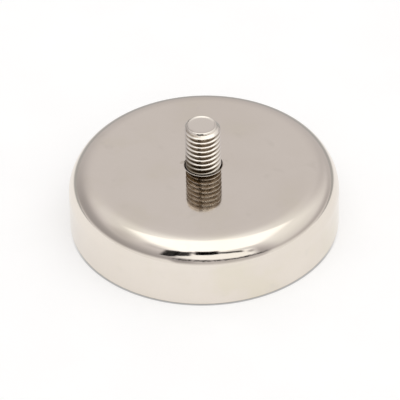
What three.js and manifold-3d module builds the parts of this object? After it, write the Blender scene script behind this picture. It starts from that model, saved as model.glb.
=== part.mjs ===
// A pot magnet with a threaded stud, used on a rope to lift steel out of water.
//
// A thick steel cup holds a neodymium disc, open side down. The disc is glued to the cup's floor and the
// gap around it is potted with epoxy resin. An M10 stud is screwed into the tapped hole in the floor.
//
// Millimetres, +Z up along the stud. The part stands on its clamping side: the cup's rim lies in the
// plane Z = 0 and the origin is at the rim's centre.

import * as THREE from 'three';
import { mergeVertices } from 'three/addons/utils/BufferGeometryUtils.js';
import Module from 'manifold-3d';

const wasm = await Module();
wasm.setup();

// ---- Driving dimensions ----

const POT_DIAMETER = 75;
const POT_HEIGHT = 19;
const POT_EDGE_RADIUS = 8.5; // the large rolled edge between the back face and the wall
const POT_WALL = 5.75;
const POT_FLOOR = 9; // carries the magnet's flux and the stud's thread
const RIM_CHAMFER = 0.4;

const STUD_DIAMETER = 9.85; // an M10 thread's real diameter, just under nominal
const THREAD_PITCH = 1.5;
const THREAD_START_ANGLE = 135; // degrees round from +X, where the thread's first turn begins
const STUD_PROJECTION = 13.7; // above the pot's back face
const STUD_END_GAP = 0.5; // the stud's inner end stops short of the magnet by this much
const STUD_CHAMFER = 0.9;
const THREAD_CLEARANCE = 0.3; // between the stud and the tapped hole, measured on the radius
const HOLE_MOUTH_DIAMETER = 10.9; // the countersink that breaks the tapped hole's edge
const HOLE_MOUTH_DEPTH = 0.5;
const CUTTER_OVERRUN = 1; // how far a cutter passes the face that it cuts

const MAGNET_DIAMETER = 58;
const MAGNET_RECESS = 0.3; // the magnet's face lies this far inside the rim
const MAGNET_CHAMFER = 0.4;
const BOND_THICKNESS = 0.2; // cured glue between the magnet and the pot's floor
const BOND_MARGIN = 0.5; // the glue stops this far inside the magnet's edge
const POTTING_RECESS = 0.6; // the resin's open face lies this far inside the rim
const SIDE_GAP = 0.1; // left between round faces that are glued together

// ---- Worked out from them ----

const potRadius = POT_DIAMETER / 2;
const cavityRadius = potRadius - POT_WALL;
const cavityDepth = POT_HEIGHT - POT_FLOOR;
const magnetRadius = MAGNET_DIAMETER / 2;
const magnetTop = cavityDepth - BOND_THICKNESS;
const studTop = POT_HEIGHT + STUD_PROJECTION;
const studBottom = cavityDepth + STUD_END_GAP;
const startAngle = (THREAD_START_ANGLE / 180) * Math.PI;

// ---- Facets ----

const ROUND_SEGMENTS = 72;
const EDGE_SEGMENTS = 8;
const THREAD_SEGMENTS = 32; // per turn

// ---- Materials ----

const nickel = new THREE.MeshStandardMaterial({ color: 0xd6ccc0, roughness: 0.08, metalness: 1 });
const studNickel = new THREE.MeshStandardMaterial({ color: 0xcdc3b4, roughness: 0.16, metalness: 1 });
const magnetNickel = new THREE.MeshStandardMaterial({ color: 0xb9b7b2, roughness: 0.28, metalness: 1 });
const glue = new THREE.MeshStandardMaterial({ color: 0xb9a77c, roughness: 0.5, metalness: 0 });
const resin = new THREE.MeshStandardMaterial({ color: 0x24262a, roughness: 0.45, metalness: 0 });

// ---- Shape helpers ----

// A solid of revolution about Z from an outline of [radius, height] points, listed anticlockwise.
function turned(outline, segments = ROUND_SEGMENTS) {
  const points = outline.map(([radius, height]) => new THREE.Vector2(radius, height));
  return new THREE.LatheGeometry(points, segments).rotateX(Math.PI / 2);
}

// A thread as one long strip wound up a helix, closed at each end by a fan about the axis.
// The strip is one pitch wide, so each turn's upper edge is the next turn's lower edge.
function threadGeometry(crestRadius, bottom, length) {
  const rootFlat = THREAD_PITCH / 4;
  const crestFlat = THREAD_PITCH / 8;
  const flank = (THREAD_PITCH - rootFlat - crestFlat) / 2;
  const rootRadius = crestRadius - flank * Math.sqrt(3); // the flanks meet at 60 degrees
  const section = [
    [rootRadius, 0],
    [rootRadius, rootFlat],
    [crestRadius, rootFlat + flank],
    [crestRadius, rootFlat + flank + crestFlat],
    [rootRadius, THREAD_PITCH],
  ];
  const turns = Math.ceil(length / THREAD_PITCH);
  const columns = turns * THREAD_SEGMENTS;
  const start = bottom - THREAD_PITCH;

  const at = (column, point) => {
    const angle = (column / THREAD_SEGMENTS) * 2 * Math.PI + startAngle;
    const rise = (column / THREAD_SEGMENTS) * THREAD_PITCH;
    const [radius, height] = section[point];
    return [radius * Math.cos(angle), radius * Math.sin(angle), start + rise + height];
  };

  const last = section.length - 1;
  const triangles = [];
  for (let column = 0; column < columns; column++) {
    for (let point = 0; point < last; point++) {
      const a = at(column, point);
      const b = at(column + 1, point);
      const c = at(column + 1, point + 1);
      const d = at(column, point + 1);
      triangles.push(a, b, c, a, c, d);
    }
  }

  // The open edge of each end: one turn of the strip's own edge, then the section back to where it began.
  const lowEdge = [];
  const highEdge = [];
  for (let column = 0; column < THREAD_SEGMENTS; column++) {
    lowEdge.push(at(column, 0));
    highEdge.push(at(columns - THREAD_SEGMENTS + column, last));
  }
  for (let point = last; point > 0; point--) lowEdge.push(at(0, point));
  for (let point = last; point > 0; point--) highEdge.push(at(columns, point));
  const lowHub = [0, 0, start + THREAD_PITCH / 2];
  const highHub = [0, 0, start + (turns + 0.5) * THREAD_PITCH];
  lowEdge.forEach((p, i) => triangles.push(lowHub, lowEdge[(i + 1) % lowEdge.length], p));
  highEdge.forEach((p, i) => triangles.push(highHub, p, highEdge[(i + 1) % highEdge.length]));

  return new THREE.BufferGeometry().setAttribute(
    'position',
    new THREE.Float32BufferAttribute(triangles.flat(), 3),
  );
}

// A geometry as a manifold-3d solid, and back.
function solidOf(geometry) {
  const bare = geometry.clone();
  bare.deleteAttribute('normal');
  bare.deleteAttribute('uv');
  const merged = mergeVertices(bare, 1e-3);
  return new wasm.Manifold(
    new wasm.Mesh({
      numProp: 3,
      vertProperties: merged.attributes.position.array,
      triVerts: new Uint32Array(merged.index.array),
    }),
  );
}

function geometryOf(solid) {
  const { vertProperties, triVerts } = solid.getMesh();
  return new THREE.BufferGeometry()
    .setAttribute('position', new THREE.BufferAttribute(vertProperties, 3))
    .setIndex(new THREE.BufferAttribute(triVerts, 1))
    .toNonIndexed();
}

function named(name, geometry, material) {
  const mesh = new THREE.Mesh(geometry, material);
  mesh.geometry.computeVertexNormals();
  mesh.name = name;
  return mesh;
}

// ---- Pieces ----

// The cup: a flat back, a rolled edge, a straight wall and a bored cavity, with a tapped hole through its
// floor that is countersunk at the back face.
function steelPot() {
  const rolledEdge = [];
  for (let i = 0; i <= EDGE_SEGMENTS; i++) {
    const angle = (i / EDGE_SEGMENTS) * (Math.PI / 2);
    rolledEdge.push([
      potRadius - POT_EDGE_RADIUS * (1 - Math.cos(angle)),
      POT_HEIGHT - POT_EDGE_RADIUS * (1 - Math.sin(angle)),
    ]);
  }
  const cup = turned([
    [0, cavityDepth],
    [cavityRadius, cavityDepth],
    [cavityRadius, RIM_CHAMFER],
    [cavityRadius + RIM_CHAMFER, 0],
    [potRadius - RIM_CHAMFER, 0],
    [potRadius, RIM_CHAMFER],
    ...rolledEdge,
    [0, POT_HEIGHT],
  ]);

  const tapRadius = STUD_DIAMETER / 2 + THREAD_CLEARANCE;
  const tap = solidOf(threadGeometry(tapRadius, studBottom - THREAD_PITCH, POT_FLOOR + 3 * THREAD_PITCH));
  const mouthRadius = HOLE_MOUTH_DIAMETER / 2;
  const mouth = turned(
    [
      [0, POT_HEIGHT - mouthRadius],
      [mouthRadius - HOLE_MOUTH_DEPTH, POT_HEIGHT - HOLE_MOUTH_DEPTH],
      [mouthRadius + CUTTER_OVERRUN, POT_HEIGHT + CUTTER_OVERRUN],
      [0, POT_HEIGHT + CUTTER_OVERRUN],
    ],
    THREAD_SEGMENTS * 2,
  );
  return geometryOf(solidOf(cup).subtract(tap).subtract(solidOf(mouth)));
}

// The stud: threaded from end to end, with both ends cut flat and chamfered.
function threadedStud() {
  const radius = STUD_DIAMETER / 2;
  const envelope = turned(
    [
      [0, studBottom],
      [radius - STUD_CHAMFER, studBottom],
      [radius, studBottom + STUD_CHAMFER],
      [radius, studTop - STUD_CHAMFER],
      [radius - STUD_CHAMFER, studTop],
      [0, studTop],
    ],
    THREAD_SEGMENTS,
  );
  const length = studTop - studBottom + 2 * THREAD_PITCH;
  return geometryOf(solidOf(threadGeometry(radius, studBottom, length)).intersect(solidOf(envelope)));
}

function discMagnet() {
  return turned([
    [0, MAGNET_RECESS],
    [magnetRadius - MAGNET_CHAMFER, MAGNET_RECESS],
    [magnetRadius, MAGNET_RECESS + MAGNET_CHAMFER],
    [magnetRadius, magnetTop - MAGNET_CHAMFER],
    [magnetRadius - MAGNET_CHAMFER, magnetTop],
    [0, magnetTop],
  ]);
}

function glueLayer() {
  const radius = magnetRadius - BOND_MARGIN;
  return turned([
    [0, magnetTop],
    [radius, magnetTop],
    [radius, cavityDepth],
    [0, cavityDepth],
  ]);
}

function pottingRing() {
  const inner = magnetRadius + SIDE_GAP;
  const outer = cavityRadius - SIDE_GAP;
  return turned([
    [inner, POTTING_RECESS],
    [outer, POTTING_RECESS],
    [outer, cavityDepth - SIDE_GAP],
    [inner, cavityDepth - SIDE_GAP],
    [inner, POTTING_RECESS],
  ]);
}

// ---- Assembly ----

const potMagnet = new THREE.Group();
potMagnet.add(
  named('steel_pot', steelPot(), nickel),
  named('threaded_stud', threadedStud(), studNickel),
  named('disc_magnet', discMagnet(), magnetNickel),
  named('magnet_glue_layer', glueLayer(), glue),
  named('potting_ring', pottingRing(), resin),
);

export default potMagnet;
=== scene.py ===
"""A pot magnet with a threaded stud: fine meshes, nickel and resin finishes, and a small photo studio."""

import math

import bmesh
import bpy
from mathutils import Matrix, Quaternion, Vector


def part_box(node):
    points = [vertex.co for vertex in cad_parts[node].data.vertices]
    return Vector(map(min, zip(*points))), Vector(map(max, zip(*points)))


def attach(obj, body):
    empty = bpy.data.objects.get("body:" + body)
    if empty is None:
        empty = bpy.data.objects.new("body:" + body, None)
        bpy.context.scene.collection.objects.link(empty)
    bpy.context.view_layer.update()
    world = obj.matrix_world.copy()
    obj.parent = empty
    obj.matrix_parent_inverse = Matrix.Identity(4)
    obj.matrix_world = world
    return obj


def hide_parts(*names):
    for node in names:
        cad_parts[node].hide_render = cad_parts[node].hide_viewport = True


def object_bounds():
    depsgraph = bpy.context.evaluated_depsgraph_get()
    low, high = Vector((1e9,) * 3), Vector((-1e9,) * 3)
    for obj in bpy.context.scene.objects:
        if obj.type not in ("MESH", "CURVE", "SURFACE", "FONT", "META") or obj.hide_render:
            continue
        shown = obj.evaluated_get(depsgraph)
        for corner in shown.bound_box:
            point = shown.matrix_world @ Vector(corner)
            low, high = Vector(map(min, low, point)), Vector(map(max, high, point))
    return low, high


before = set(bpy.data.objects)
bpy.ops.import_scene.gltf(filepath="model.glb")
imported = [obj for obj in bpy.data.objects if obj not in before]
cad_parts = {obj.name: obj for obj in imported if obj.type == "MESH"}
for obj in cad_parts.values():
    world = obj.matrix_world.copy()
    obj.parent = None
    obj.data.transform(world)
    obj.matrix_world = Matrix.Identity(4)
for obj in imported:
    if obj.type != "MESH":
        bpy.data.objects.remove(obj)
cad_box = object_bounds()

MM = 0.001

# ---- Sizes that the frame gives, in millimetres ----


def node_size(node):
    """A round node's radius, lowest and highest point."""
    low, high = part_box(node)
    return high[0] / MM, low[2] / MM, high[2] / MM


POT_RADIUS, POT_BOTTOM, POT_TOP = node_size("steel_pot")
STUD_RADIUS, STUD_BOTTOM, STUD_TOP = node_size("threaded_stud")
MAGNET_RADIUS, MAGNET_FACE, MAGNET_BACK = node_size("disc_magnet")
RESIN_RADIUS, RESIN_FACE, RESIN_BACK = node_size("potting_ring")

# ---- Shapes inside those sizes, in millimetres ----

ROLLED_EDGE = 8.5
ROLLED_EDGE_START = POT_RADIUS - ROLLED_EDGE  # radius at which the flat back ends
RIM_EDGE = 0.4  # rounding of the rim's outer edge
RIM_INNER_EDGE = 0.3
CAVITY_GAP = 0.1  # the potting's CAD solid stays this far inside the cavity
CAVITY_RADIUS = RESIN_RADIUS + CAVITY_GAP
CAVITY_TOP = RESIN_BACK + CAVITY_GAP

PITCH = 1.5
ROOT_FLAT = PITCH / 4
CREST_FLAT = PITCH / 8
FLANK_SLOPE = math.sqrt(3)  # the two flanks of a crest meet at 60 degrees
THREAD_DEPTH = FLANK_SLOPE * (PITCH - ROOT_FLAT - CREST_FLAT) / 2
THREAD_CLEARANCE = 0.3
CREST_AT_FRONT = 20.7  # height of a crest on the side towards the camera
CREST_ROUNDING = 0.06
ROOT_ROUNDING = 0.10
MOUTH_RADIUS = 5.3  # where the countersink meets the flat back, 0.15 inside the CAD's
BURR = 0.1  # height of the raised edge that the countersink left round the hole

STUD_CHAMFER = 0.9
CHAMFER_SLOPE = 0.88  # a little steeper than 45 degrees
CHAMFER_OFFSET = 0.35  # the top chamfer was ground this far off centre, towards -X
END_EDGE = 0.12  # rounding between an end face and its chamfer
END_EDGE_SHARE = 0.6  # how much of that rounding is taken off the face
END_LIP = ((1.0, 0.0), (0.98, 0.0), (0.97, 0.02), (0.88, 0.25))  # share of the face's radius, depth
DISH_DEPTH = 0.27
DISH = END_LIP + tuple((share, DISH_DEPTH) for share in (0.86, 0.6, 0.3, 0.0))

MAGNET_EDGE = 0.4
RESIN_GAP = 0.02  # left between the resin and both walls
MENISCUS = 0.25
RESIN_SWELL = ((3, 0.03, 0.7), (7, 0.02, 0.0))  # waves round the ring: how many, height, phase
BUBBLES = (  # angle in degrees, distance from the axis, radius
    (14, 30.2, 0.45),
    (97, 30.7, 0.3),
    (151, 30.0, 0.35),
    (228, 30.5, 0.5),
    (301, 30.3, 0.3),
)
BUBBLE_DEPTH = 0.3  # as a share of a bubble's radius

# How finely the meshes are divided. Rings are extra rows of points on flat and straight parts: radii on a
# face, heights on a wall.
FINE_COLUMNS = 256  # round the pot, the magnet and the resin
STUD_COLUMNS = 128
BURR_RINGS = (2.1, 2.3, 2.8, 4, 8)  # distance outside the hole's mouth, in heights of the burr
BACK_RINGS = (8, 12, 16, 20, 24, 27)
WALL_RINGS = (8, 6, 4, 2)
RIM_RINGS = (36, 34.5, 33)
SIDE_RINGS = (2, 5, 8)  # on the cavity's, the magnet's and the resin's sides
POCKET_RINGS = (24, 16, 8)
MAGNET_RINGS = (0, 8, 16, 24, 28)
HOLDING_RING = 0.1  # a ring this close to a rounded corner keeps what is beside it flat
SHARP_ANGLE = math.radians(30)

# ---- Mesh helpers ----


def mesh_object(name, points, faces, material):
    """Makes one object from points in millimetres; corners sharper than SHARP_ANGLE stay crisp."""
    same_place = 1e-4 * MM
    mesh = bpy.data.meshes.new(name)
    mesh.from_pydata([(x * MM, y * MM, z * MM) for x, y, z in points], [], faces)
    cleaned = bmesh.new()
    cleaned.from_mesh(mesh)
    bmesh.ops.remove_doubles(cleaned, verts=cleaned.verts, dist=same_place)
    bmesh.ops.dissolve_degenerate(cleaned, edges=cleaned.edges, dist=same_place)
    bmesh.ops.recalc_face_normals(cleaned, faces=cleaned.faces)
    cleaned.to_mesh(mesh)
    cleaned.free()
    mesh.polygons.foreach_set("use_smooth", [True] * len(mesh.polygons))
    mesh.set_sharp_from_angle(angle=SHARP_ANGLE)
    mesh.materials.append(material)
    obj = bpy.data.objects.new(name, mesh)
    bpy.context.collection.objects.link(obj)
    return obj


def arc(centre, radius, start, end, steps):
    """Outline points round a centre; angles are in degrees from straight up towards the outside."""
    points = []
    for i in range(steps + 1):
        angle = math.radians(start + (end - start) * i / steps)
        points.append((centre[0] + radius * math.sin(angle), centre[1] + radius * math.cos(angle)))
    return points


def lathe(outline, columns):
    """Turns an outline of (radius, height) about Z. Points that fall together are merged later."""
    points, faces = [], []
    for radius, height in outline:
        for i in range(columns):
            angle = 2 * math.pi * i / columns
            points.append((radius * math.cos(angle), radius * math.sin(angle), height))
    for row in range(len(outline) - 1):
        for i in range(columns):
            j = (i + 1) % columns
            a, b = row * columns, (row + 1) * columns
            faces.append((a + i, a + j, b + j, b + i))
    return points, faces


def joined(*parts):
    """Several (points, faces) lists as one."""
    points, faces = [], []
    for more_points, more_faces in parts:
        offset = len(points)
        points += more_points
        faces += [tuple(offset + index for index in face) for face in more_faces]
    return points, faces


# ---- Threads ----


def soft_limit(value, limit, width, sign):
    """Keeps a value on one side of a limit, with a rounded corner instead of a sharp one."""
    gap = sign * (limit - value)
    if gap >= width:
        return value
    if gap <= -width:
        return limit
    return limit - sign * (gap + width) ** 2 / (4 * width)


def thread_profile(phase):
    """Height of the 60 degree profile above its root, for a phase of 0 to 1 with the crest at 0.5."""
    flank = FLANK_SLOPE * PITCH * (0.5 - abs(phase - 0.5))
    root = FLANK_SLOPE * ROOT_FLAT / 2
    height = soft_limit(flank, root, ROOT_ROUNDING, -1)
    height = soft_limit(height, root + THREAD_DEPTH, CREST_ROUNDING, 1)
    return height - root


def thread(crest_radius, bottom, top, columns, rows, limit):
    """A threaded surface from bottom to top, as a grid whose rows climb with the helix.

    limit(height, radius, angle) trims the thread to a chamfer or a countersink. Rows that would pass an
    end are laid on it, where they merge into one ring.
    """
    root_radius = crest_radius - THREAD_DEPTH
    turns = math.ceil((top - bottom) / PITCH) + 2
    root_at_start = CREST_AT_FRONT - PITCH / 4  # a root's height on the +X side, where the grid starts
    first = root_at_start - PITCH * math.ceil((root_at_start - bottom) / PITCH + 1)
    last_row = turns * rows + rows
    points, faces = [], []
    for i in range(columns):
        angle = 2 * math.pi * i / columns
        for k in range(last_row + 1):
            height = first + PITCH * (k / rows + i / columns)
            height = min(max(height, bottom), top)
            radius = limit(height, root_radius + thread_profile((k % rows) / rows), angle)
            points.append((radius * math.cos(angle), radius * math.sin(angle), height))

    def index(i, k):
        if i == columns:
            i, k = 0, k + rows
        return i * (last_row + 1) + min(k, last_row)

    for i in range(columns):
        for k in range(last_row):
            faces.append((index(i, k), index(i + 1, k), index(i + 1, k + 1), index(i, k + 1)))
    return points, faces


# ---- Pieces ----


def make_pot(material):
    """The cup: countersunk tapped hole, flat back, rolled edge, wall, rim and magnet pocket."""
    edge_centre = (ROLLED_EDGE_START, POT_TOP - ROLLED_EDGE)
    wall_rings = (edge_centre[1] - HOLDING_RING, *WALL_RINGS, RIM_EDGE + HOLDING_RING)
    rim_centre = (POT_RADIUS - RIM_EDGE, POT_BOTTOM + RIM_EDGE)
    inner_rim_centre = (CAVITY_RADIUS + RIM_INNER_EDGE, POT_BOTTOM + RIM_INNER_EDGE)

    outline = arc((MOUTH_RADIUS + BURR, POT_TOP), BURR, -90, 75, steps=10)
    outline += [(MOUTH_RADIUS + share * BURR, POT_TOP) for share in BURR_RINGS]
    outline += [(radius, POT_TOP) for radius in (*BACK_RINGS, ROLLED_EDGE_START - HOLDING_RING)]
    outline += arc(edge_centre, ROLLED_EDGE, 0, 90, steps=60)
    outline += [(POT_RADIUS, height) for height in wall_rings]
    outline += arc(rim_centre, RIM_EDGE, 90, 180, steps=8)
    outline += [(radius, POT_BOTTOM) for radius in RIM_RINGS]
    outline += arc(inner_rim_centre, RIM_INNER_EDGE, 180, 270, steps=6)
    outline += [(CAVITY_RADIUS, height) for height in (*SIDE_RINGS, CAVITY_TOP)]
    outline += [(radius, CAVITY_TOP) for radius in (*POCKET_RINGS, MOUTH_RADIUS)]

    def countersinks(height, radius, angle):
        return max(radius, MOUTH_RADIUS - (POT_TOP - height), MOUTH_RADIUS - (height - CAVITY_TOP))

    hole_radius = STUD_RADIUS + THREAD_CLEARANCE
    hole = thread(hole_radius, CAVITY_TOP, POT_TOP, FINE_COLUMNS, rows=12, limit=countersinks)
    return mesh_object("pot_shell", *joined(lathe(outline, FINE_COLUMNS), hole), material)


def make_stud(material):
    """The stud: threaded from end to end, with chamfered ends that are dished inside a lip."""
    end_radius = STUD_RADIUS - STUD_CHAMFER

    def rim(angle, offset):
        """An end face's radius in one direction, where the face lies offset towards -X."""
        return math.sqrt(end_radius**2 - (offset * math.sin(angle)) ** 2) - offset * math.cos(angle)

    def chamfers(height, radius, angle):
        at_top = height > (STUD_TOP + STUD_BOTTOM) / 2
        from_end = STUD_TOP - height if at_top else height - STUD_BOTTOM
        into_edge = END_EDGE - min(from_end, END_EDGE)
        eased = END_EDGE - math.sqrt(max(END_EDGE**2 - into_edge**2, 0))
        face_radius = rim(angle, CHAMFER_OFFSET if at_top else 0)
        return min(radius, face_radius + CHAMFER_SLOPE * from_end - END_EDGE_SHARE * eased)

    body = thread(STUD_RADIUS, STUD_BOTTOM, STUD_TOP, STUD_COLUMNS, rows=20, limit=chamfers)
    ends = []
    for height, inwards, offset in ((STUD_TOP, -1, CHAMFER_OFFSET), (STUD_BOTTOM, 1, 0)):
        points, faces = lathe([(share, height + depth * inwards) for share, depth in DISH], STUD_COLUMNS)
        angles = [2 * math.pi * i / STUD_COLUMNS for i in range(STUD_COLUMNS)]
        reach = [rim(angle, offset) - END_EDGE_SHARE * END_EDGE for angle in angles] * len(DISH)
        ends.append(([(x * size, y * size, z) for (x, y, z), size in zip(points, reach)], faces))
    return mesh_object("stud_thread", *joined(body, *ends), material)


def make_magnet(material):
    """The disc: two flat faces and rounded corners, as ground, tumbled and plated."""
    low, high, edge = MAGNET_FACE, MAGNET_BACK, MAGNET_EDGE
    flat_radius = MAGNET_RADIUS - edge
    outline = [(radius, low) for radius in (*MAGNET_RINGS, flat_radius - HOLDING_RING / 2)]
    outline += arc((flat_radius, low + edge), edge, 180, 90, steps=8)
    outline += [(MAGNET_RADIUS, height) for height in SIDE_RINGS]
    outline += arc((flat_radius, high - edge), edge, 90, 0, steps=8)
    outline += [(radius, high) for radius in (28, 16, 0)]
    return mesh_object("magnet_disc", *lathe(outline, FINE_COLUMNS), material)


def make_resin(material):
    """The potting: cast level, then shrunk so that it climbs both walls, with a few burst bubbles."""
    inner, outer = MAGNET_RADIUS + RESIN_GAP, CAVITY_RADIUS - RESIN_GAP
    face = []
    steps = 16
    for i in range(steps + 1):
        across = i / steps
        climb = MENISCUS * (2 * across - 1) ** 4
        face.append((inner + (outer - inner) * across, RESIN_FACE + MENISCUS - climb))
    outer_side = [(outer, height) for height in (*SIDE_RINGS, RESIN_BACK)]
    inner_side = [(inner, height) for radius, height in reversed(outer_side)]
    points, faces = lathe(face + outer_side + inner_side + face[:1], FINE_COLUMNS)

    def dented(x, y, z):
        """A point of the open face, moved by the swell and the bubbles."""
        around = math.atan2(y, x)
        for waves, size, phase in RESIN_SWELL:
            z += size * math.sin(waves * around + phase)
        for angle, distance, size in BUBBLES:
            centre_x = distance * math.cos(math.radians(angle))
            centre_y = distance * math.sin(math.radians(angle))
            apart = math.hypot(x - centre_x, y - centre_y)
            z += BUBBLE_DEPTH * size * max(0.0, 1 - (apart / size) ** 2)
        return x, y, max(z, RESIN_FACE)

    open_face = len(face) * FINE_COLUMNS
    shaped = [dented(*point) for point in points[:open_face]] + points[open_face:-FINE_COLUMNS]
    shaped += shaped[:FINE_COLUMNS]  # the outline's last point is its first one again
    return mesh_object("resin_ring", shaped, faces, material)


# ---- Node helpers ----


def rgb(red, green, blue):
    return (red, green, blue, 1.0)


class Tree:
    """Short names for building a node tree."""

    def __init__(self, tree):
        self.tree = tree
        tree.nodes.clear()

    def node(self, kind, **settings):
        made = self.tree.nodes.new(kind)
        for key, value in settings.items():
            setattr(made, key, value)
        return made

    def link(self, source, target):
        """Links a socket to another, or sets a constant on it."""
        if isinstance(source, (int, float, tuple)):
            target.default_value = source
        else:
            self.tree.links.new(source, target)

    def coordinates(self, kind):
        return self.node("ShaderNodeTexCoord").outputs[kind]

    def split(self, vector):
        """A vector's X, Y and Z."""
        made = self.node("ShaderNodeSeparateXYZ")
        self.link(vector, made.inputs[0])
        return made.outputs

    def math(self, operation, *values):
        made = self.node("ShaderNodeMath", operation=operation)
        for value, socket in zip(values, made.inputs):
            self.link(value, socket)
        return made.outputs[0]

    def product(self, first, *others):
        for other in others:
            first = self.math("MULTIPLY", first, other)
        return first

    def total(self, first, *others):
        for other in others:
            first = self.math("ADD", first, other)
        return first

    def ramp(self, value, low, high, out_low=0.0, out_high=1.0):
        """A smooth step from out_low at low to out_high at high. Low may be the larger one."""
        if low > high:
            low, high, out_low, out_high = high, low, out_high, out_low
        made = self.node("ShaderNodeMapRange", interpolation_type="SMOOTHSTEP")
        for socket, given in zip(made.inputs, (value, low, high, out_low, out_high)):
            self.link(given, socket)
        return made.outputs[0]

    def ramp_mm(self, length, low, high, out_low=0.0, out_high=1.0):
        """A smooth step over a length in metres, between limits in millimetres."""
        return self.ramp(length, low * MM, high * MM, out_low, out_high)

    def band(self, value, low, high, soft):
        """1 between low and high and 0 outside, with soft edges."""
        rise = self.ramp(value, low - soft, low + soft)
        return self.product(rise, self.ramp(value, high - soft, high + soft, 1.0, 0.0))

    def noise(self, vector, scale, detail=2.0, roughness=0.5, stretch=None):
        """Noise with so many cells per unit of the vector, which is a metre on the pieces."""
        made = self.node("ShaderNodeTexNoise")
        if stretch:
            mapping = self.node("ShaderNodeMapping")
            mapping.inputs["Scale"].default_value = stretch
            self.link(vector, mapping.inputs["Vector"])
            vector = mapping.outputs[0]
        self.link(vector, made.inputs["Vector"])
        made.inputs["Scale"].default_value = scale
        made.inputs["Detail"].default_value = detail
        made.inputs["Roughness"].default_value = roughness
        return made.outputs[0]

    def patches(self, vector, scale, low, high, amount=1.0, stretch=None):
        """Soft patches where noise passes from low to high."""
        return self.ramp(self.noise(vector, scale, 3, 0.6, stretch), low, high, 0.0, amount)

    def mix(self, factor, first, second):
        """A blend of two numbers."""
        return self.total(first, self.product(factor, self.math("SUBTRACT", second, first)))

    def colour(self, factor, first, second):
        """A blend of two colours."""
        made = self.node("ShaderNodeMix", data_type="RGBA")
        self.link(factor, made.inputs["Factor"])
        self.link(first, made.inputs["A"])
        self.link(second, made.inputs["B"])
        return made.outputs["Result"]

    def bump(self, height, depth, normal=None):
        """A bumped normal; the depth is in millimetres."""
        made = self.node("ShaderNodeBump")
        made.inputs["Distance"].default_value = depth * MM
        self.link(height, made.inputs["Height"])
        if normal:
            self.link(normal, made.inputs["Normal"])
        return made.outputs[0]


def new_material(name, metallic):
    """An empty material with a Principled shader, and its coordinates in metres."""
    material = bpy.data.materials.new(name)
    material.use_nodes = True
    tree = Tree(material.node_tree)
    shader = tree.node("ShaderNodeBsdfPrincipled")
    shader.inputs["Metallic"].default_value = metallic
    output = tree.node("ShaderNodeOutputMaterial")
    tree.link(shader.outputs[0], output.inputs["Surface"])
    return material, tree, shader.inputs, tree.coordinates("Object")


def polar(tree, place):
    """Distance from the stud's axis and height, in metres."""
    x, y, height = tree.split(place)
    squares = [tree.math("POWER", value, 2.0) for value in (x, y)]
    return tree.math("SQRT", tree.total(*squares)), height


# ---- Finishes ----

NICKEL = rgb(0.815, 0.755, 0.685)
STAINED_NICKEL = rgb(0.785, 0.722, 0.648)
YELLOWED_NICKEL = rgb(0.785, 0.728, 0.63)
SMUDGED_NICKEL = rgb(0.72, 0.67, 0.60)
SCORED_NICKEL = rgb(0.50, 0.47, 0.43)
RESIDUE = rgb(0.50, 0.44, 0.36)
# Painted shade inside the tapped hole.
HOLE_SHADE = rgb(0.09, 0.062, 0.036)

CREST_NICKEL = rgb(0.86, 0.81, 0.75)
END_NICKEL = rgb(0.83, 0.775, 0.705)
# The root and deep colours are grime with painted shade; the underside colour is painted shade.
ROOT_GRIME_AND_SHADE = rgb(0.39, 0.33, 0.26)
DEEP_GRIME_AND_SHADE = rgb(0.13, 0.10, 0.065)
UNDERSIDE_SHADE = rgb(0.14, 0.097, 0.053)

SATIN_NICKEL = rgb(0.80, 0.785, 0.755)
CLOUDED_NICKEL = rgb(0.68, 0.665, 0.64)
GROUND_NICKEL = rgb(0.42, 0.41, 0.39)

ROLLED_IN = 2  # distance over which the rolled edge takes on its waviness
GROUND_DEPTH = 0.3  # the grinding of the rim reaches this far up its edges


def plate_colour(tree, place, radius):
    """Nickel with stains, yellowed patches that show most on the wall, smudges, and residue at the hole."""
    plate = tree.colour(tree.ramp(tree.noise(place, 35, 3, 0.55), 0.35, 0.75), NICKEL, STAINED_NICKEL)
    on_wall = tree.ramp_mm(radius, POT_RADIUS - 0.5, POT_RADIUS - 0.1, 0.55, 1.0)
    yellow = tree.product(tree.patches(place, 75, 0.48, 0.72), on_wall)
    plate = tree.colour(yellow, plate, YELLOWED_NICKEL)
    plate = tree.colour(tree.patches(place, 190, 0.6, 0.75, 0.3), plate, SMUDGED_NICKEL)
    collar = tree.ramp_mm(radius, MOUTH_RADIUS + 2.6, MOUTH_RADIUS + 0.6, 0.0, 0.45)
    return tree.colour(tree.product(tree.patches(place, 480, 0.56, 0.68), collar), plate, RESIDUE)


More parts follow.
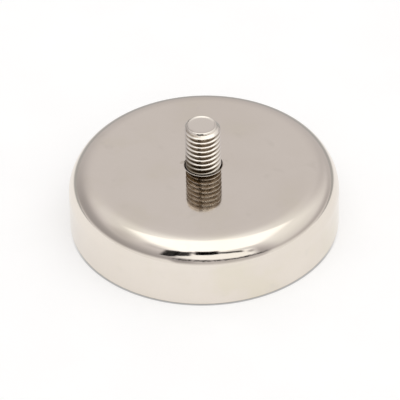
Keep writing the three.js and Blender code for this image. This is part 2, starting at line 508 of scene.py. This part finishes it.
def bright_nickel():
    """Bright nickel over polished steel: a warm mirror with faint haze, orange peel and hairlines.

    The rim's face, which was ground after plating, is duller and has turning marks.
    """
    material, tree, inputs, place = new_material("bright_nickel", 1.0)
    radius, height = polar(tree, place)

    around = tree.node("ShaderNodeCombineXYZ")
    tree.link(radius, around.inputs[0])
    rings = tree.noise(around.outputs[0], 2600, 4, 0.65)
    facing = tree.split(tree.coordinates("Normal"))[2]
    ground = tree.product(
        tree.ramp(facing, -0.9, -0.99),
        tree.ramp_mm(height, GROUND_DEPTH, GROUND_DEPTH - 0.2),
    )
    scored = tree.product(ground, tree.ramp(rings, 0.3, 0.6, 0.75, 0.15))
    plate = tree.colour(scored, plate_colour(tree, place, radius), SCORED_NICKEL)
    # Painted shade: the inside of the tapped hole is coloured almost black.
    shaded_hole = tree.product(
        tree.ramp_mm(radius, MOUTH_RADIUS + 0.01, MOUTH_RADIUS - 0.05),
        tree.ramp_mm(height, POT_TOP, POT_TOP - 0.15),
    )
    tree.link(tree.colour(shaded_hole, plate, HOLE_SHADE), inputs["Base Color"])

    haze = tree.math("MULTIPLY_ADD", tree.noise(place, 90, 4, 0.6), 0.05, 0.045)
    hairlines = tree.ramp(tree.noise(place, 260, 2, 0.5, (1.0, 9.0, 1.0)), 0.62, 0.78, 0.0, 0.05)
    tree.link(tree.total(haze, hairlines, tree.product(ground, 0.16)), inputs["Roughness"])

    rolled = tree.ramp_mm(radius, ROLLED_EDGE_START, ROLLED_EDGE_START + ROLLED_IN, 0.12, 1.0)
    peel = tree.bump(tree.noise(place, 700, 2, 0.5), 0.0006)
    waves = tree.bump(tree.product(tree.noise(place, 130, 2, 0.45), rolled), 0.01, peel)
    tree.link(tree.bump(tree.product(rings, ground), 0.01, waves), inputs["Normal"])
    return material


def thread_nickel():
    """Nickel on the stud: bright on the crests, dull with grime and painted shade in the roots, and with
    painted shade darkest near the pot.
    """
    material, tree, inputs, place = new_material("thread_nickel", 1.0)
    radius, height = polar(tree, place)
    across = tree.split(place)[0]
    facing = tree.split(tree.coordinates("Normal"))[2]

    # Grime and painted shade darken the roots of the thread.
    darkened_below = STUD_RADIUS - 0.7 * THREAD_DEPTH
    plain_above = STUD_RADIUS - 0.12 * THREAD_DEPTH
    in_root = tree.ramp_mm(radius, darkened_below, plain_above, 1.0, 0.0)
    # Painted shade on the flanks that face down.
    shaded_underside = tree.ramp(facing, -0.05, -0.4)
    grime_and_shade = tree.math("MAXIMUM", in_root, tree.product(shaded_underside, 0.9))
    grime_and_shade = tree.product(grime_and_shade, tree.ramp(tree.noise(place, 600, 3), 0.3, 0.6, 0.75, 1.0))

    # Painted shade over the grime, darkest round the foot of the stud and reaching higher up on the -X
    # side.
    shade_height = tree.total(height, tree.product(across, 0.9))
    near_pot = tree.ramp_mm(shade_height, POT_TOP + 6.5, POT_TOP + 0.5)
    spread_shade = tree.ramp_mm(tree.mix(0.6, shade_height, height), POT_TOP + 3.5, POT_TOP - 0.5, 0.0, 0.8)
    grime_and_shade = tree.math("MINIMUM", tree.total(grime_and_shade, spread_shade), 1.0)
    at_end = tree.ramp_mm(height, STUD_TOP - 1.3, STUD_TOP - 1.0)
    grime_and_shade = tree.math("SUBTRACT", grime_and_shade, tree.product(grime_and_shade, at_end))

    clean = tree.colour(at_end, CREST_NICKEL, END_NICKEL)
    dirt_and_shade = tree.colour(near_pot, ROOT_GRIME_AND_SHADE, DEEP_GRIME_AND_SHADE)
    dirt_and_shade = tree.colour(shaded_underside, dirt_and_shade, UNDERSIDE_SHADE)
    tree.link(tree.colour(grime_and_shade, clean, dirt_and_shade), inputs["Base Color"])
    tree.link(tree.mix(grime_and_shade, 0.07, 0.20), inputs["Roughness"])
    tree.link(tree.bump(tree.noise(place, 1800, 3, 0.6), 0.002), inputs["Normal"])
    return material


def satin_nickel():
    """Satin nickel on the magnet: straight grinding grain, cloudy plating and rubbed streaks."""
    material, tree, inputs, place = new_material("satin_nickel", 1.0)
    cloud = tree.noise(place, 60, 4, 0.6)
    grain = tree.noise(place, 120, 4, 0.6, (1.0, 40.0, 1.0))
    plate = tree.colour(tree.ramp(cloud, 0.3, 0.7), SATIN_NICKEL, CLOUDED_NICKEL)
    dark_grain = tree.ramp(grain, 0.35, 0.65, 0.30, 0.0)
    tree.link(tree.colour(dark_grain, plate, GROUND_NICKEL), inputs["Base Color"])
    rubbed = tree.patches(place, 45, 0.55, 0.7, 0.12, (1.0, 5.0, 1.0))
    tree.link(tree.math("SUBTRACT", tree.mix(cloud, 0.22, 0.38), rubbed), inputs["Roughness"])
    fine = tree.bump(tree.noise(place, 2600, 3, 0.6), 0.003)
    tree.link(tree.bump(grain, 0.02, fine), inputs["Normal"])
    return material


def black_epoxy():
    """Cast black epoxy: glossy, slightly dusty and uneven."""
    material, tree, inputs, place = new_material("black_epoxy", 0.0)
    dust = tree.ramp(tree.noise(place, 220, 4, 0.65), 0.45, 0.75)
    tree.link(tree.colour(dust, rgb(0.012, 0.013, 0.016), rgb(0.035, 0.035, 0.036)), inputs["Base Color"])
    tree.link(tree.mix(dust, 0.22, 0.5), inputs["Roughness"])
    tree.link(tree.bump(tree.noise(place, 500, 3, 0.5), 0.04), inputs["Normal"])
    return material


def amber_glue():
    """Amber structural glue, with streaks from squeezing."""
    material, tree, inputs, place = new_material("amber_glue", 0.0)
    streaks = tree.noise(place, 180, 3, 0.6)
    tree.link(tree.colour(streaks, rgb(0.62, 0.52, 0.32), rgb(0.42, 0.33, 0.18)), inputs["Base Color"])
    tree.link(tree.mix(streaks, 0.35, 0.6), inputs["Roughness"])
    tree.link(tree.bump(streaks, 0.03), inputs["Normal"])
    return material


# ---- Floor ----

FLOOR_HALF = 1500
FLOOR_GAP = 0.05  # the floor lies this far under the rim
FLOOR_WHITE = 0.62
FLOOR_GLOW = 0.46
SEEN_FADE = (120, 240)  # where the floor turns grey behind the part, as the camera sees it
MIRRORED_FADE = (40, 88)  # and as the plating mirrors it
CONTACT_SHADOW = 0.45  # how much darker the floor is right at the rim's front


def white_floor():
    """A white table with a glow of its own. It is clear under the pot and when seen from below."""
    material = bpy.data.materials.new("floor_white")
    material.use_nodes = True
    tree = Tree(material.node_tree)
    place = tree.coordinates("Object")
    back = tree.split(place)[1]
    from_axis = polar(tree, place)[0]

    mirrored = tree.node("ShaderNodeLightPath").outputs["Is Glossy Ray"]
    # Painted shade: the floor greys towards the back, sooner and deeper where the plating mirrors it, and a
    # painted contact shadow darkens it at the rim's front.
    seen = tree.ramp_mm(back, *SEEN_FADE, 1.0, 0.6)
    level = tree.mix(mirrored, seen, tree.ramp_mm(back, *MIRRORED_FADE, 0.99, 0.45))
    level = tree.product(level, tree.ramp(tree.noise(place, 40, 3), 0.3, 0.7, 0.985, 1.0))
    contact = tree.ramp_mm(from_axis, POT_RADIUS + 0.1, POT_RADIUS + 0.45, CONTACT_SHADOW, 0.0)
    level = tree.math("SUBTRACT", level, tree.product(contact, tree.ramp_mm(back, -4, -22)))

    diffuse = tree.node("ShaderNodeBsdfDiffuse")
    white = rgb(FLOOR_WHITE, FLOOR_WHITE, FLOOR_WHITE)
    tree.link(tree.colour(level, rgb(0, 0, 0), white), diffuse.inputs[0])
    glow = tree.node("ShaderNodeEmission")
    glow.inputs[0].default_value = rgb(1, 1, 1)
    tree.link(tree.product(level, FLOOR_GLOW), glow.inputs[1])
    lit = tree.node("ShaderNodeAddShader")
    tree.link(diffuse.outputs[0], lit.inputs[0])
    tree.link(glow.outputs[0], lit.inputs[1])

    from_below = tree.node("ShaderNodeNewGeometry").outputs["Backfacing"]
    under_pot = tree.ramp_mm(from_axis, POT_RADIUS - 0.6, POT_RADIUS - 0.4, 1.0, 0.0)
    surface = tree.node("ShaderNodeMixShader")
    tree.link(tree.math("MAXIMUM", from_below, under_pot), surface.inputs[0])
    tree.link(lit.outputs[0], surface.inputs[1])
    tree.link(tree.node("ShaderNodeBsdfTransparent").outputs[0], surface.inputs[2])
    output = tree.node("ShaderNodeOutputMaterial")
    tree.link(surface.outputs[0], output.inputs["Surface"])
    return material


def make_floor():
    half = FLOOR_HALF * MM
    low = cad_box[0][2] - FLOOR_GAP * MM
    corners = [(-half, -half, low), (half, -half, low), (half, half, low), (-half, half, low)]
    mesh = bpy.data.meshes.new("floor")
    mesh.from_pydata(corners, [], [(0, 1, 2, 3)])
    mesh.materials.append(white_floor())
    floor = bpy.data.objects.new("floor", mesh)
    bpy.context.collection.objects.link(floor)


# ---- Studio light ----

# Brightnesses. A pair is low down and high up, unless it says otherwise.
ROOM_BEHIND = (0.57, 0.70)
ROOM_ELSEWHERE = (0.40, 0.86)
RIGHT_SIDE = (0.13, 0.39)  # added on the right
LEFT_SIDE = 0.09  # added on the left
GLOW = 0.62  # added overhead
SOFTBOX = 1.45
CARD = (0.85, 1.18)  # left end and right end
SKIRT = 0.66
EDGE_LINE = (0.0, 0.55)  # in its dark spots and in its light ones
TABLE = 0.93

GLOW_ELEVATION = math.radians(72)
GLOW_TIGHTNESS = 9.0

# In degrees.
RIPPLE = 5.0  # how far the edges of the card and of the dark shapes wander
RAGGEDNESS = 7.0  # and the table's front edge
TABLE_EDGE = 15.8  # elevation of that edge straight in front
TABLE_EDGE_FALL = 0.08  # per degree to the right

# Dark things before the card and to its left: azimuths from and to, the elevation of the middle at
# azimuth 0, its rise per degree of azimuth, half the height, the softness of the edges, and how dark it is.
DARK_SHAPES = (
    (-37, -24, 43.5, 0.28, 10.5, 1, 0.96),
    (-27, -13, 44.5, 0.28, 7.5, 1, 0.96),
    (-14, -9, 45.0, 0.0, 2.5, 1, 0.7),
    (-10, 13, 44.3, 0.0, 6.6, 1, 1.0),
    (13, 33, 47.4, -0.35, 3.2, 1, 0.92),
    (36, 41, 29.5, 0.0, 3.8, 1, 0.5),
    (-58, -34, 46.0, 0.0, 7.0, 5, 0.25),
    (-92, -70, 39.0, 0.0, 8.0, 5, 0.16),
)


class Sky(Tree):
    """The world's node tree, with the measures of a direction that its shapes are drawn by.

    A direction has an elevation above the horizon, and an azimuth from the front that is positive to the
    right as seen from there, both in degrees.
    """

    def __init__(self, tree):
        super().__init__(tree)
        direction = self.coordinates("Generated")
        self.across, back, self.up = self.split(direction)
        self.front = self.product(back, -1.0)
        self.elevation = self.product(self.math("ARCSINE", self.up), math.degrees(1))
        self.azimuth = self.product(self.math("ARCTAN2", self.across, self.front), math.degrees(1))
        ripple = self.product(self.math("SUBTRACT", self.noise(direction, 7, 2), 0.5), RIPPLE)
        self.wavy = self.total(self.elevation, ripple)  # elevation, with noise
        self.specks = self.noise(direction, 26, 3)


def room(sky):
    """The room: even behind the part, darker towards the horizon elsewhere, and lighter at both sides."""
    aside = sky.ramp(sky.math("ABSOLUTE", sky.azimuth), 165, 115)
    behind = sky.ramp(sky.elevation, -5, 48, *ROOM_BEHIND)
    level = sky.mix(aside, behind, sky.ramp(sky.elevation, 10, 56, *ROOM_ELSEWHERE))
    leaning = sky.total(sky.azimuth, sky.product(sky.elevation, 0.8))
    right = sky.product(
        sky.ramp(sky.azimuth, 43, 66),
        sky.ramp(leaning, 170, 130),
        sky.ramp(sky.elevation, 80, 16),
        sky.ramp(sky.elevation, 6, 20, *RIGHT_SIDE),
    )
    left = sky.product(
        sky.band(sky.azimuth, -132, -70, 14),
        sky.band(sky.elevation, 26, 44, 7),
        LEFT_SIDE,
    )
    return sky.total(level, right, left)


def softbox(sky, level):
    """A wide glow overhead, and a flat panel in it, in units of its height, that is bowed at the back."""
    along_front = sky.product(sky.front, math.cos(GLOW_ELEVATION))
    towards = sky.total(along_front, sky.product(sky.up, math.sin(GLOW_ELEVATION)))
    glow = sky.math("POWER", sky.math("MAXIMUM", towards, 0.0), GLOW_TIGHTNESS)
    level = sky.total(level, sky.product(glow, GLOW))
    height = sky.math("MAXIMUM", sky.up, 0.05)  # never zero, so that it can divide
    along_x = sky.math("DIVIDE", sky.across, height)
    along_y = sky.math("DIVIDE", sky.front, height)
    off_middle = sky.math("MAXIMUM", sky.math("SUBTRACT", sky.math("ABSOLUTE", along_x), 0.25), 0.0)
    bowed = sky.total(along_y, sky.product(off_middle, 0.35))
    panel = sky.product(sky.band(along_x, -0.66, 0.80, 0.16), sky.band(bowed, -0.02, 0.86, 0.07))
    return sky.mix(panel, level, SOFTBOX)


def white_card(sky, level):
    """A white card on the camera side, brighter to the right."""
    tilted = sky.total(sky.wavy, sky.product(sky.azimuth, 0.12))
    card = sky.product(sky.band(tilted, 21, 44, 2), sky.band(sky.azimuth, -30, 41, 5))
    return sky.mix(card, level, sky.ramp(sky.azimuth, -30, -6, *CARD))


def dark_shapes(sky, level):
    """The camera, its stand and what is beside them."""
    for low, high, middle, rise, half, soft, darkness in DARK_SHAPES:
        centre = sky.math("MULTIPLY_ADD", sky.azimuth, rise, middle)
        apart = sky.math("ABSOLUTE", sky.math("SUBTRACT", sky.wavy, centre))
        shape = sky.ramp(apart, half + soft, half - soft)
        shape = sky.product(shape, sky.band(sky.azimuth, low, high, 2 * soft), darkness)
        level = sky.mix(shape, level, 0.0)
    return level


def white_table(sky, level):
    """The table that the part stands on, which curls up behind the dark, ragged line of its front edge."""
    noisy = sky.product(sky.math("SUBTRACT", sky.specks, 0.5), RAGGEDNESS)
    ragged = sky.total(noisy, sky.wavy, -TABLE_EDGE)
    below_edge = sky.math("SUBTRACT", sky.product(sky.azimuth, -TABLE_EDGE_FALL), ragged)
    skirt = sky.product(sky.ramp(below_edge, -1, 1), sky.ramp(below_edge, 14, 2))
    level = sky.mix(sky.product(skirt, sky.band(sky.azimuth, -10, 50, 5)), level, SKIRT)
    near_edge = sky.band(sky.azimuth, -26, 50, 5)
    line = sky.product(sky.ramp(sky.math("ABSOLUTE", below_edge), 3.3, 2.1), near_edge)
    level = sky.mix(line, level, sky.ramp(sky.specks, 0.46, 0.6, *EDGE_LINE))
    horizon = sky.total(sky.math("MULTIPLY_ADD", sky.front, 8.0, 4.0), sky.product(near_edge, -7.0))
    table = sky.ramp(sky.math("SUBTRACT", sky.elevation, horizon), 5, -5)
    level = sky.mix(sky.product(table, sky.ramp(sky.front, -0.75, -0.45)), level, TABLE)
    return sky.product(level, sky.ramp(sky.elevation, -75, -30, 0.6, 1.0))


def make_studio_light():
    """One surrounding light, built up in layers, each laid over the ones before it."""
    world = bpy.data.worlds.new("studio")
    bpy.context.scene.world = world
    world.use_nodes = True
    sky = Sky(world.node_tree)
    level = room(sky)
    for layer in (softbox, white_card, dark_shapes, white_table):
        level = layer(sky, level)
    background = sky.node("ShaderNodeBackground")
    tint = sky.colour(sky.ramp(level, 0.6, 1.0), rgb(1.0, 0.955, 0.96), rgb(1.0, 0.992, 0.975))
    sky.link(tint, background.inputs[0])
    sky.link(level, background.inputs[1])
    output = sky.node("ShaderNodeOutputWorld")
    sky.link(background.outputs[0], output.inputs["Surface"])
    bpy.context.scene.view_settings.view_transform = "Standard"


# ---- Camera ----

CAMERA_DISTANCE = 900
CAMERA_ELEVATION = math.radians(38.40)
CAMERA_ROLL = math.radians(-1.23)
CAMERA_LENS = 291.4
CAMERA_TARGET = (-1.15, 0.0, 6.45)


def make_camera():
    """A long lens 0.9 m away, 38 degrees up, turned slightly about its own axis."""
    back = Vector((0.0, -math.cos(CAMERA_ELEVATION), math.sin(CAMERA_ELEVATION)))
    data = bpy.data.cameras.new("camera")
    data.lens = CAMERA_LENS
    camera = bpy.data.objects.new("camera", data)
    bpy.context.collection.objects.link(camera)
    camera.location = (Vector(CAMERA_TARGET) + back * CAMERA_DISTANCE) * MM
    camera.rotation_mode = "QUATERNION"
    camera.rotation_quaternion = Quaternion(back, CAMERA_ROLL) @ (-back).to_track_quat("-Z", "Y")
    bpy.context.scene.camera = camera


# ---- Assembly ----

make_camera()
make_studio_light()
make_floor()

for make, material, node, slot in (
    (make_pot, bright_nickel(), "steel_pot", "pot_nickel"),
    (make_stud, thread_nickel(), "threaded_stud", "stud_nickel"),
    (make_magnet, satin_nickel(), "disc_magnet", "magnet_nickel"),
    (make_resin, black_epoxy(), "potting_ring", "potting_resin"),
):
    piece = make(material)
    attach(piece, "root")
    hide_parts(node)

glue_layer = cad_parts["magnet_glue_layer"]
for material_slot in glue_layer.material_slots:
    material_slot.material = amber_glue()
